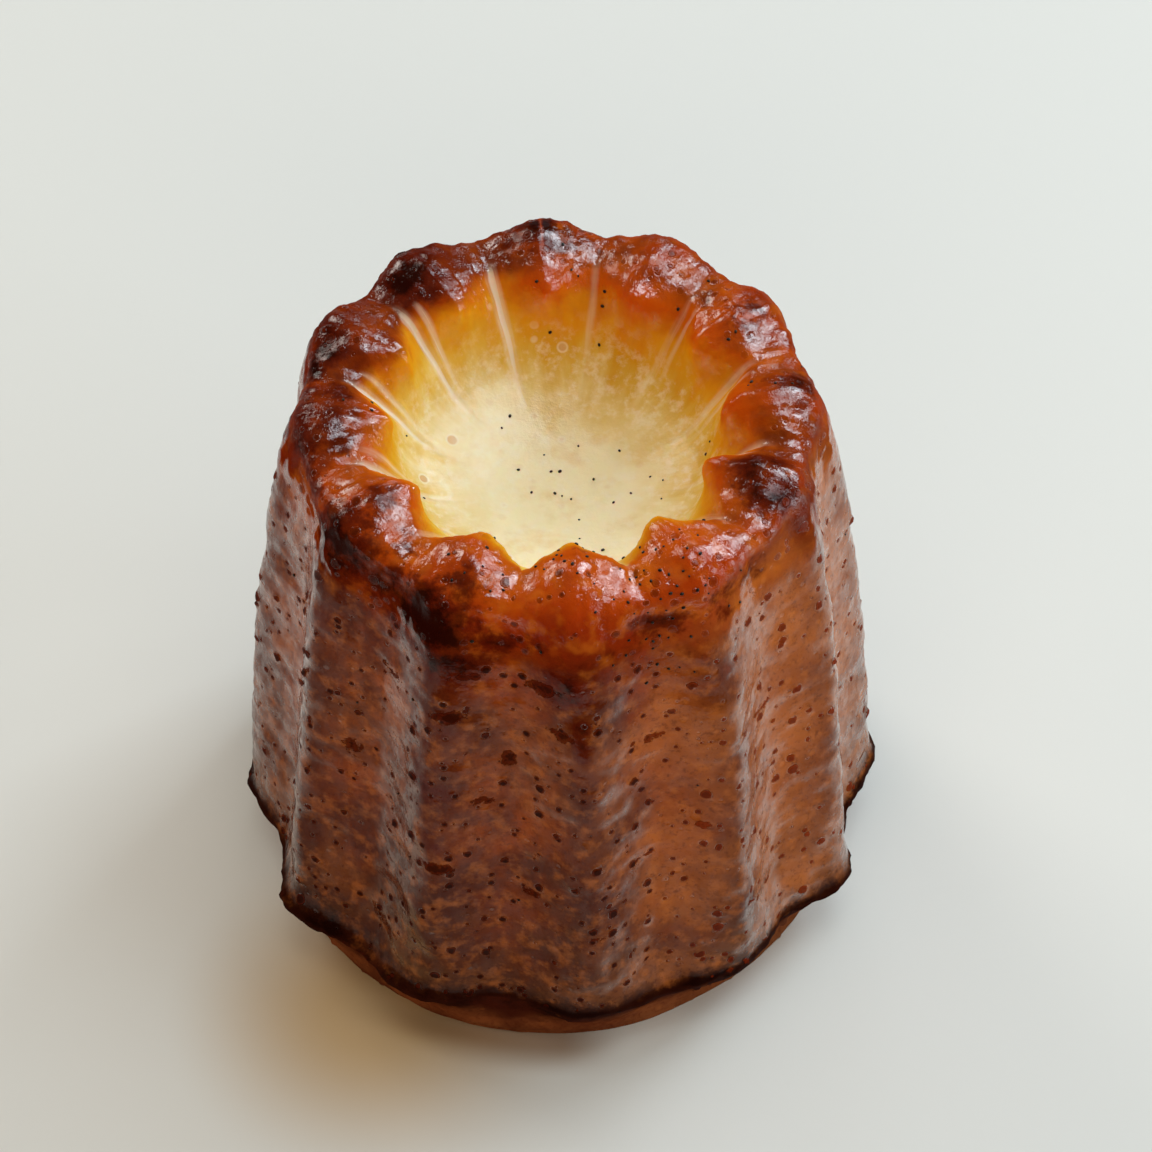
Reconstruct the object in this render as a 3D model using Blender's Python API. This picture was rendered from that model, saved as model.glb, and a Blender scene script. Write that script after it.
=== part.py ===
"""A canele: a small fluted cake with a dark caramel crust, baked in a copper mould and turned out onto
its wider end. Twelve rounded lobes stand round its narrow upper end, and its pale middle has sunk.

Metres, +Z up. The origin is the middle of the flat that the cake rests on.
Bearings are in degrees, clockwise from +Y as seen from above.
"""

import math

import bmesh
import bpy
from mathutils import Vector, noise

MM = 0.001

# The mould: twelve hollow flutes between narrow ridges, the first ridge a little off +Y. How round a ridge
# is, on the side and where the crust folds at the crest, is a share of half a flute.
FLUTES = 12
PITCH = 360 / FLUTES
FIRST_RIDGE = -5.1
RIDGE_ROUNDING = 0.20
FOLD_ROUNDING = 0.10
FLUTE_HOLLOW = 1.7

# Driving sizes of the cake, in millimetres.
LIP_RADIUS = 28.0
LIP_HEIGHT = 5.4
FLUTE_DEPTH = 3.0
FOOT_RADIUS = 25.4
SHOULDER_RADIUS = 23.3
SHOULDER_HEIGHT = 45.0
CREST_RADIUS = 17.5
CREST_HEIGHT = 53.8
CUSP_RADIUS = 13.8
DISH_HEIGHT = 43.4

# The top leans this far off the axis of the base, in millimetres.
LEAN = (-0.6, 0.15)

# Half the cake's section, from the rest flat out, up the side, over the crest and into the dish.
# Each station: ridge (radius, height), groove (radius, height), how hollow the flute is beside a narrow
# ridge and how sharply ridge and groove fold, both from 0 to 1, how far the crust's bumps stand out in
# millimetres, and how many rings lead to the next station.
STATIONS = (
    ("rest", (FOOT_RADIUS - 2.7, 0.0), (FOOT_RADIUS - 2.7, 0.0), 0.0, 0.0, 0.00, 1),
    ("foot turn", (FOOT_RADIUS - 0.5, 0.5), (FOOT_RADIUS - 0.6, 0.5), 0.2, 0.0, 0.10, 1),
    ("foot", (FOOT_RADIUS, 2.0), (FOOT_RADIUS - 0.3, 2.0), 0.3, 0.0, 0.20, 2),
    ("lip underside", (LIP_RADIUS - 0.9, 4.4), (LIP_RADIUS - FLUTE_DEPTH + 0.6, 4.2), 0.5, 0.0, 0.30, 2),
    ("lip", (LIP_RADIUS, LIP_HEIGHT), (LIP_RADIUS - FLUTE_DEPTH + 1.0, LIP_HEIGHT - 0.2), 0.6, 0.0, 0.30, 2),
    ("lip top", (LIP_RADIUS - 0.6, 7.5), (LIP_RADIUS - FLUTE_DEPTH + 0.3, 6.8), 0.75, 0.0, 0.30, 4),
    ("side low", (26.8, 16.0), (24.1, 16.0), 0.85, 0.0, 0.34, 4),
    ("side middle", (25.8, 26.5), (23.1, 27.0), 0.85, 0.0, 0.34, 4),
    ("side high", (24.6, 37.5), (22.2, 37.5), 0.75, 0.0, 0.38, 3),
    ("shoulder", (SHOULDER_RADIUS, SHOULDER_HEIGHT), (21.6, SHOULDER_HEIGHT), 0.60, 0.0, 0.45, 3),
    ("brow", (22.3, 50.2), (21.0, 49.3), 0.50, 0.15, 0.50, 2),
    ("crest outside", (21.0, CREST_HEIGHT - 0.9), (20.3, 51.9), 0.35, 0.40, 0.50, 2),
    ("crest", (CREST_RADIUS, CREST_HEIGHT), (CREST_RADIUS, 52.2), 0.10, 0.80, 0.45, 2),
    ("cusp", (CUSP_RADIUS, CREST_HEIGHT - 1.4), (16.2, 51.3), 0.10, 0.90, 0.35, 2),
    ("dish wall", (13.3, 49.2), (13.6, 48.6), 0.10, 0.80, 0.25, 2),
    ("dish edge", (11.5, 45.9), (10.9, 45.5), 0.10, 0.40, 0.15, 2),
    ("dish floor", (6.2, 43.9), (6.2, 43.9), 0.0, 0.0, 0.10, 1),
    ("dish inner", (2.6, DISH_HEIGHT), (2.6, DISH_HEIGHT), 0.0, 0.0, 0.05, 0),
)

# No two lobes bake alike. For each ridge in turn: its error in bearing at the crest and at the lip, in
# degrees, then in millimetres how much further out the shoulder stands, how much higher the crest is, how
# much further in the cusp points, and how much further out the lip's tip, the foot and the lip in the next
# groove are.
LOBES = (
    (0.4, 0.0, 0.0, 0.0, 0.2, 0.0, 0.0, 0.0),
    (0.3, 0.0, 0.3, -0.1, -0.2, 0.0, 0.0, 0.0),
    (-0.8, 0.0, 0.3, -0.2, 0.0, 0.0, -0.2, 0.3),
    (0.5, 0.6, 0.0, 0.0, 0.1, 0.0, -0.6, -0.3),
    (-2.4, 2.2, 0.0, 0.0, 0.5, 0.2, -0.9, -0.4),
    (0.5, -0.5, 0.0, 0.0, 0.2, -1.0, -0.8, 0.2),
    (0.0, -1.8, 0.2, 0.2, 0.0, -0.5, 0.3, -0.5),
    (-1.0, -0.3, 0.1, -0.1, 0.0, 0.2, 0.8, 1.0),
    (0.2, 0.8, 0.0, 0.1, -0.3, 0.6, 0.5, -0.1),
    (1.0, 0.9, 0.1, 0.1, 0.0, -0.2, 0.0, 0.0),
    (0.0, 0.0, 0.5, -0.1, 0.2, 0.0, 0.0, 0.3),
    (-1.2, 0.0, 0.6, 0.2, 0.0, 0.0, 0.0, 0.2),
)
BEARING, LIP_BEARING, REACH, RISE, POINT, TIP, FOOT, WEB = range(8)

# Where along the stations a lobe's last six errors are felt: the middle station and the spread.
REACH_AT = (9.6, 3.2)
RISE_AT = (12.0, 3.0)
POINT_AT = (13.2, 2.2)
TIP_AT = (4.0, 1.6)
FOOT_AT = (1.3, 2.6)
WEB_AT = (4.0, 1.6)

# The crust's bumps: the largest one's width in millimetres, how much smaller and how many the finer
# sizes are, and where in the noise the cake sits.
BUMP_WIDTH = 5.0
BUMP_ROUGHNESS = 0.6
BUMP_SIZES = 2
BUMP_PLACE = Vector((3.1, 7.4, 1.7))

# The mesh: points across each flute, and the angle past which an edge is drawn sharp.
STEPS_PER_FLUTE = 12
SHARP_FROM = math.radians(50)

CRUST_COLOUR = (0.165, 0.045, 0.014, 1.0)
CRUST_ROUGHNESS = 0.32


def clear_scene():
    for obj in list(bpy.data.objects):
        bpy.data.objects.remove(obj)


def collection_named(name):
    collection = bpy.data.collections.new(name)
    bpy.context.scene.collection.children.link(collection)
    return collection


def crust_material():
    """Dark caramelised sugar crust, glossy where the mould's wax and butter glazed it."""
    material = bpy.data.materials.new("caramel_crust")
    material.use_nodes = True
    shader = material.node_tree.nodes["Principled BSDF"]
    shader.inputs["Base Color"].default_value = CRUST_COLOUR
    shader.inputs["Roughness"].default_value = CRUST_ROUGHNESS
    shader.inputs["Metallic"].default_value = 0.0
    return material


def along_curve(before, start, end, after, share):
    """A Catmull-Rom curve's value, this share of the way from start to end."""
    return 0.5 * (
        2 * start
        + (end - before) * share
        + (2 * before - 5 * start + 4 * end - after) * share**2
        + (3 * (start - end) + after - before) * share**3
    )


def numbers_of(station):
    """A station's seven numbers in a row."""
    _, ridge, groove, hollow, fold, bumps, _ = station
    return (*ridge, *groove, hollow, fold, bumps)


def section_rings():
    """(place along the stations, its seven numbers) for each ring, on smooth curves through the stations."""
    rings = []
    last = len(STATIONS) - 1
    for i, station in enumerate(STATIONS):
        count = max(station[-1], 1)
        near = [numbers_of(STATIONS[min(max(i + k, 0), last)]) for k in (-1, 0, 1, 2)]
        for n in range(count):
            rings.append((i + n / count, [along_curve(*values, n / count) for values in zip(*near)]))
    return rings


def bell(place, middle, spread):
    """1 at the middle station, falling smoothly to 0 a spread away."""
    distance = min(abs(place - middle) / spread, 1)
    return 0.5 + 0.5 * math.cos(math.pi * distance)


def lobe_error(turn, column):
    """One column of the lobes' table, eased from each ridge to the next. turn counts ridges."""
    first = math.floor(turn)
    share = turn - first
    share = share * share * (3 - 2 * share)
    here = LOBES[first % FLUTES][column]
    following = LOBES[(first + 1) % FLUTES][column]
    return here + (following - here) * share


def straight_slope(across, rounding):
    """1 on a ridge falling in a straight line to 0 in the groove, with the ridge rounded over."""
    widest = math.hypot(1, rounding)
    return (widest - math.hypot(across, rounding)) / (widest - rounding)


def ridge_weight(turn, hollow, fold):
    """1 on a ridge, 0 in a groove: a wave, turned into a hollow flute or a straight fold by these shares."""
    across = 2 * abs(turn - round(turn))
    wave = 0.5 + 0.5 * math.cos(math.pi * across)
    flute = straight_slope(across, RIDGE_ROUNDING) ** FLUTE_HOLLOW
    crease = straight_slope(across, FOLD_ROUNDING)
    return wave + (flute - wave) * hollow + (crease - wave) * fold


def bumped(point, out, height, depth):
    """The point moved by the crust's bumps: sideways on the side, turning upwards over the crest."""
    rise = noise.fractal(point / (BUMP_WIDTH * MM) + BUMP_PLACE, BUMP_ROUGHNESS, 2.0, BUMP_SIZES)
    upward = min(max((height - SHOULDER_HEIGHT) / (CREST_HEIGHT - SHOULDER_HEIGHT), 0), 1)
    return point + (out * (1 - upward) + Vector((0, 0, upward))) * rise * depth * MM


def point_at(turn, place, numbers):
    """The crust's point on one ring, a number of ridges round from the first."""
    ridge_radius, ridge_height, groove_radius, groove_height, hollow, fold, bumps = numbers
    weight = ridge_weight(turn, hollow, fold)
    radius = groove_radius + (ridge_radius - groove_radius) * weight
    height = groove_height + (ridge_height - groove_height) * weight
    radius += lobe_error(turn, REACH) * bell(place, *REACH_AT)
    radius -= lobe_error(turn, POINT) * bell(place, *POINT_AT) * weight
    radius += lobe_error(turn, TIP) * bell(place, *TIP_AT) * weight
    radius += lobe_error(turn, FOOT) * bell(place, *FOOT_AT)
    radius += LOBES[math.floor(turn) % FLUTES][WEB] * bell(place, *WEB_AT) * (1 - weight)
    height += lobe_error(turn, RISE) * bell(place, *RISE_AT)
    share_up = min(max(height / CREST_HEIGHT, 0), 1)
    error = lobe_error(turn, BEARING) * share_up + lobe_error(turn, LIP_BEARING) * (1 - share_up)
    bearing = math.radians(FIRST_RIDGE + PITCH * turn + error)
    out = Vector((math.sin(bearing), math.cos(bearing), 0))
    point = (out * radius + Vector((0, 0, height))) * MM
    lean = Vector((*LEAN, 0)) * share_up * MM
    return bumped(point, out, height, bumps) + lean


def canele(collection, material):
    """The whole cake, one solid: rings of points laid over each other, joined, and closed at both ends."""
    steps = FLUTES * STEPS_PER_FLUTE
    mesh = bmesh.new()
    loops = []
    for place, numbers in section_rings():
        loops.append([mesh.verts.new(point_at(n / STEPS_PER_FLUTE, place, numbers)) for n in range(steps)])
    for lower, upper in zip(loops, loops[1:]):
        for n in range(steps):
            following = (n + 1) % steps
            mesh.faces.new((lower[n], lower[following], upper[following], upper[n]))
    mesh.faces.new(loops[0])
    middle = mesh.verts.new(sum((vertex.co for vertex in loops[-1]), Vector()) / steps)
    for n, vertex in enumerate(loops[-1]):
        mesh.faces.new((vertex, loops[-1][(n + 1) % steps], middle))
    bmesh.ops.recalc_face_normals(mesh, faces=mesh.faces)
    data = bpy.data.meshes.new("canele")
    mesh.to_mesh(data)
    mesh.free()
    data.materials.append(material)
    data.shade_smooth()
    data.set_sharp_from_angle(angle=SHARP_FROM)
    obj = bpy.data.objects.new("canele", data)
    collection.objects.link(obj)
    return obj


clear_scene()
canele(collection_named("canele"), crust_material())
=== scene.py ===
import math
from functools import partial

import bpy
import numpy as np
from mathutils import Matrix, Vector


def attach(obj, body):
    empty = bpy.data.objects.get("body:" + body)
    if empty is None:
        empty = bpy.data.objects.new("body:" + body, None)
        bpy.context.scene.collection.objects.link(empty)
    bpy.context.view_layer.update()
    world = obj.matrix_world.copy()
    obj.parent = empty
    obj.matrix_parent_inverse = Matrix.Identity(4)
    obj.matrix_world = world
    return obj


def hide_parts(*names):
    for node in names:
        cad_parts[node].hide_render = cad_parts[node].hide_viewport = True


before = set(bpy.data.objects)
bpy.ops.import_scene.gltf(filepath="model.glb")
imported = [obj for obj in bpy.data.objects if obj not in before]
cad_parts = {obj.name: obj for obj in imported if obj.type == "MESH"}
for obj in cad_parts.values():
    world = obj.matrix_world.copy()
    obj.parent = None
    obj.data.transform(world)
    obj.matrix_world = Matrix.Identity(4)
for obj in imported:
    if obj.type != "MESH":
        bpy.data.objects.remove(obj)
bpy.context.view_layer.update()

# The cake
# A canele: vanilla custard dough baked in a buttered and waxed copper mould, so that a shell of glossy
# caramel forms on its twelve-fluted side. It is turned out onto its wider end, and its pale middle has
# sunk between the lobes. It is one piece, lofted round its axis from half its section.
MM = 0.001
FLUTES = 12
PITCH = 360 / FLUTES
FIRST_RIDGE = -5.1
STEPS_PER_FLUTE = 40

LIP_RADIUS = 28.0
LIP_HEIGHT = 5.4
FLUTE_DEPTH = 3.0
FOOT_RADIUS = 25.4
SHOULDER_RADIUS = 23.3
SHOULDER_HEIGHT = 45.0
CREST_RADIUS = 17.5
CREST_HEIGHT = 53.8
CUSP_RADIUS = 13.8
DISH_HEIGHT = 43.4
LEAN = (-0.6, 0.15)

# Half the section, in millimetres, from the middle of the rest over the crest to the middle of the dish.
# Each station: ridge (radius, height), groove (radius, height), how hollow the flute is beside a narrow
# ridge, how sharply the ridge and the groove fold, the height of the crust's lumps, and the rings that
# lead to the next station.
STATIONS = (
    ("under", (0.0, 0.0), (0.0, 0.0), 0.0, 0.0, 0.00, 3),
    ("rest", (FOOT_RADIUS - 2.7, 0.0), (FOOT_RADIUS - 2.7, 0.0), 0.0, 0.0, 0.00, 3),
    ("foot turn", (FOOT_RADIUS - 0.5, 0.5), (FOOT_RADIUS - 0.6, 0.5), 0.2, 0.0, 0.10, 4),
    ("foot", (FOOT_RADIUS, 2.0), (FOOT_RADIUS - 0.3, 2.0), 0.3, 0.0, 0.20, 6),
    ("lip underside", (LIP_RADIUS - 0.9, 4.4), (LIP_RADIUS - FLUTE_DEPTH + 0.6, 4.2), 0.5, 0.0, 0.30, 4),
    ("lip", (LIP_RADIUS, LIP_HEIGHT), (LIP_RADIUS - FLUTE_DEPTH + 1.0, LIP_HEIGHT - 0.2), 0.6, 0.0, 0.30, 5),
    ("lip top", (LIP_RADIUS - 0.6, 7.5), (LIP_RADIUS - FLUTE_DEPTH + 0.3, 6.8), 0.75, 0.0, 0.25, 20),
    ("side low", (26.8, 16.0), (24.1, 16.0), 0.85, 0.0, 0.20, 25),
    ("side middle", (25.8, 26.5), (23.1, 27.0), 0.85, 0.0, 0.18, 25),
    ("side high", (24.6, 37.5), (22.2, 37.5), 0.75, 0.0, 0.16, 18),
    ("shoulder", (SHOULDER_RADIUS, SHOULDER_HEIGHT), (21.6, SHOULDER_HEIGHT), 0.60, 0.0, 0.18, 15),
    ("brow", (22.3, 50.2), (21.0, 49.3), 0.50, 0.15, 0.25, 10),
    ("crest outside", (21.0, CREST_HEIGHT - 0.9), (20.3, 51.9), 0.35, 0.40, 0.35, 13),
    ("crest", (CREST_RADIUS, CREST_HEIGHT), (CREST_RADIUS, 52.2), 0.10, 0.80, 0.32, 14),
    ("cusp", (CUSP_RADIUS, CREST_HEIGHT - 1.4), (16.2, 51.3), 0.10, 0.90, 0.22, 11),
    ("dish wall", (13.3, 49.2), (13.6, 48.6), 0.10, 0.80, 0.12, 10),
    ("dish edge", (11.5, 45.9), (10.9, 45.5), 0.10, 0.40, 0.10, 9),
    ("dish floor", (6.2, 43.9), (6.2, 43.9), 0.0, 0.0, 0.08, 6),
    ("dish inner", (2.6, DISH_HEIGHT), (2.6, DISH_HEIGHT), 0.0, 0.0, 0.05, 3),
    ("dish middle", (0.0, DISH_HEIGHT), (0.0, DISH_HEIGHT), 0.0, 0.0, 0.05, 0),
)
AT = {station[0]: place for place, station in enumerate(STATIONS)}

# The crust's zones, each from one station to another. A zone's faces wear a material of their own, which
# leaves out the layers of the crust that never reach them, so that the cake takes less time to draw.
ZONES = {
    "side": (AT["under"], AT["shoulder"] - 0.5),
    "brow": (AT["shoulder"] - 0.5, AT["brow"] + 1),
    "crest": (AT["brow"] + 1, AT["dish wall"] + 0.5),
    "dish": (AT["dish wall"] + 0.5, AT["dish middle"]),
}

# No two lobes bake alike. For each ridge in turn: its error in bearing at the crest and at the lip, in
# degrees, then in millimetres how much further out the shoulder stands, how much higher the crest is, how
# much further in the cusp points, and how much further out the lip's tip, the foot and the lip in the next
# groove are. Then how many stations further into the dish the gold reaches, how dark the lobe baked, and
# how thin and pale the crust is below it, up to 1; on the front lobes the gold and the lightness are partly
# a painted glow of light through the thin crest, and the pale crust is partly painted light on the lit side.
# Last, as shares of each line's full height, how far the skin stands up in a crease along the next groove,
# in a second crease beside it, and in a bead on this ridge.
LOBES = (
    (0.4, 0.0, 0.0, 0.0, 0.2, 0.0, 0.0, 0.0, 0.45, 0.48, 0.40, 0.2, 0.0, 0.3),
    (0.3, 0.0, 0.3, -0.1, -0.2, 0.0, 0.0, 0.0, 0.50, 0.43, 0.45, 0.2, 0.2, 0.0),
    (-0.8, 0.0, 0.3, -0.2, 0.0, 0.0, -0.2, 0.3, 0.30, 0.33, 0.60, 0.4, 0.3, 0.3),
    (0.5, 0.6, 0.0, 0.0, 0.1, 0.0, -0.6, -0.3, 0.35, 0.38, 0.90, 0.3, 0.3, 0.2),
    (-2.4, 2.2, 0.0, 0.0, 0.5, 0.2, -0.9, -0.4, 0.05, 0.60, 1.00, 0.4, 0.3, 0.0),
    (0.5, -0.5, 0.0, 0.0, 0.2, -1.0, -0.8, 0.2, -0.75, 0.00, 0.72, 0.2, 0.0, 0.6),
    (0.0, -1.8, 0.2, 0.2, 0.0, -0.5, 0.3, -0.5, -0.80, 0.00, 0.10, 0.0, 0.0, 0.8),
    (-1.0, -0.3, 0.1, -0.1, 0.0, 0.2, 0.8, 1.0, -0.65, 0.18, -0.20, 0.3, 0.0, 0.3),
    (0.2, 0.8, 0.0, 0.1, -0.3, 0.6, 0.5, -0.1, 0.10, 0.30, 0.10, 0.8, 0.3, 0.3),
    (1.0, 0.9, 0.1, 0.1, 0.0, -0.2, 0.0, 0.0, -0.05, 0.53, 0.35, 0.9, 0.6, 0.5),
    (0.0, 0.0, 0.5, -0.1, 0.2, 0.0, 0.0, 0.3, -0.30, 0.63, 0.40, 1.0, 0.8, 0.9),
    (-1.2, 0.0, 0.6, 0.2, 0.0, 0.0, 0.0, 0.2, -0.35, 0.78, 0.40, 1.0, 0.0, 0.9),
)
LOBE_COLUMNS = (
    "bearing_error", "lip_error", "reach", "rise", "point", "tip", "foot", "web", "gilded", "baked", "thin"
)

# Where along the stations six of those errors are felt: the middle station and the spread.
FELT_AT = {
    "reach": (AT["side high"] + 1.6, 3.2),
    "rise": (AT["crest outside"] + 1.0, 3.0),
    "point": (AT["crest"] + 1.2, 2.2),
    "tip": (AT["lip"], 1.6),
    "foot": (AT["foot turn"] + 0.3, 2.6),
    "web": (AT["lip"], 1.6),
}

# How round the ridges are, on the side and where the crust folds at the crest, as a share of half a flute.
SIDE_ROUNDING = 0.20
FOLD_ROUNDING = 0.10
FLUTE_HOLLOW = 1.7

# Creases run down the dish's wall in the grooves, and beads run over the crest on the ridges: each one's
# place as a share of the way to the next ridge, its spread in degrees where it starts and where it ends,
# and the two stations between which it stands up. Their strengths are the last columns above.
LINES = {
    "crease": (0.52, (0.6, 1.9), AT["crest outside"] + 0.2, AT["dish edge"] + 1.0),
    "twin": (0.66, (0.5, 1.3), AT["crest"] + 0.2, AT["dish edge"] + 0.4),
    "bead": (0.0, (0.7, 0.7), AT["brow"] + 0.2, AT["cusp"] + 0.3),
}


def along_curve(before, start, end, after, share):
    """A Catmull-Rom curve's value, this share of the way from start to end."""
    return 0.5 * (
        2 * start
        + (end - before) * share
        + (2 * before - 5 * start + 4 * end - after) * share**2
        + (3 * (start - end) + after - before) * share**3
    )


def bell(place, middle, spread):
    """1 at the middle station, falling smoothly to 0 a spread away."""
    distance = min(abs(place - middle) / spread, 1)
    return 0.5 + 0.5 * math.cos(math.pi * distance)


def section_numbers():
    """Named rows of numbers, one for each ring of the cake from the rest to the middle of the dish."""
    names = ("ridge_radius", "ridge_height", "groove_radius", "groove_height", "hollow", "fold", "lumps")
    table = [(*ridge, *groove, *more) for _, ridge, groove, *more, _ in STATIONS]
    last = len(STATIONS) - 1
    rows = {name: [] for name in ("station", *names, *FELT_AT)}
    for first, station in enumerate(STATIONS):
        count = max(station[-1], 1)
        near = [table[min(max(first + k, 0), last)] for k in (-1, 0, 1, 2)]
        for n in range(count):
            place = first + n / count
            rows["station"].append(place)
            for name, values in zip(names, zip(*near)):
                rows[name].append(along_curve(*values, n / count))
            for name, (middle, spread) in FELT_AT.items():
                rows[name].append(bell(place, middle, spread))
    return rows


def ring_numbers():
    """Named rows of numbers, one for each point round the cake, with the first point again at the end."""
    turn = np.arange(FLUTES * STEPS_PER_FLUTE + 1) / STEPS_PER_FLUTE
    across = 2 * np.abs(turn - np.round(turn))
    share = turn % 1
    share = share * share * (3 - 2 * share)
    lobes = np.array(LOBES)
    here = lobes[np.floor(turn).astype(int) % FLUTES]
    following = lobes[np.floor(turn + 1).astype(int) % FLUTES]
    eased = here + (following - here) * share[:, None]
    rows = {"bearing": FIRST_RIDGE + PITCH * turn, "wave": 0.5 + 0.5 * np.cos(math.pi * across)}
    for name, rounding, power in (("hollow", SIDE_ROUNDING, FLUTE_HOLLOW), ("fold", FOLD_ROUNDING, 1)):
        widest = math.hypot(1, rounding)
        rows[name] = ((widest - np.hypot(across, rounding)) / (widest - rounding)) ** power
    for column, (name, (place, _, _, _)) in enumerate(LINES.items(), len(LOBE_COLUMNS)):
        off = turn - place
        rows[name + "_strength"] = lobes[np.round(off).astype(int) % FLUTES, column]
        rows[name + "_off"] = (off - np.round(off)) * PITCH
    rows["turn"] = turn
    rows |= dict(zip(LOBE_COLUMNS, eased.T))
    rows["web"] = here[:, LOBE_COLUMNS.index("web")]
    return rows


def placed(name, data):
    """A new object of the scene, with this mesh, light or camera."""
    obj = bpy.data.objects.new(name, data)
    bpy.context.scene.collection.objects.link(obj)
    return obj


def guide(name, rows):
    """A row of points that holds only these named numbers, one of each at every point."""
    mesh = bpy.data.meshes.new(name)
    count = len(next(iter(rows.values())))
    mesh.from_pydata([(0, 0, 0)] * count, [], [])
    for row_name, values in rows.items():
        attribute = mesh.attributes.new(row_name, "FLOAT", "POINT")
        attribute.data.foreach_set("value", np.asarray(values, np.float32))
    return placed(name, mesh)


def add(tree, kind, inputs=(), output=0, stops=(), **settings):
    """Adds a node with its settings, links and ramp stops, and gives one of its outputs.
    inputs are plain values or other nodes' outputs, in the order of the sockets or by their names."""
    node = tree.nodes.new(kind)
    for name, value in settings.items():
        setattr(node, name, value)
    sockets = [socket for socket in node.inputs if socket.enabled]
    places = inputs.items() if isinstance(inputs, dict) else enumerate(inputs)
    for place, value in places:
        socket = sockets[place] if isinstance(place, int) else next(s for s in sockets if s.name == place)
        if isinstance(value, bpy.types.NodeSocket):
            tree.links.new(value, socket)
        elif value is not None:
            socket.default_value = value
    if stops:
        while len(node.color_ramp.elements) < len(stops):
            node.color_ramp.elements.new(1)
        for element, (place, colour) in zip(node.color_ramp.elements, stops):
            element.position = place
            element.color = colour
    shown = [socket for socket in node.outputs if socket.enabled]
    if not shown:
        return None
    return shown[output] if isinstance(output, int) else next(s for s in shown if s.name == output)


def tree_with_inputs(name, inputs):
    """A geometry tree and its input node. inputs maps each input's name to its kind and value."""
    tree = bpy.data.node_groups.new(name, "GeometryNodeTree")
    tree.interface.new_socket("Geometry", in_out="OUTPUT", socket_type="NodeSocketGeometry")
    for input_name, (kind, _) in inputs.items():
        tree.interface.new_socket(input_name, in_out="INPUT", socket_type=kind)
    return tree, tree.nodes.new("NodeGroupInput").outputs


def made_by(tree, inputs, name):
    """The plain mesh object that this geometry tree makes from its inputs."""
    host = placed(name + "_host", bpy.data.meshes.new(name + "_host"))
    modifier = host.modifiers.new(name, "NODES")
    modifier.node_group = tree
    for socket in tree.interface.items_tree:
        if socket.in_out == "INPUT":
            modifier[socket.identifier] = inputs[socket.name][1]
    graph = bpy.context.evaluated_depsgraph_get()
    mesh = bpy.data.meshes.new_from_object(host.evaluated_get(graph), depsgraph=graph)
    bpy.data.objects.remove(host)
    mesh.name = name
    return placed(name, mesh)


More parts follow.
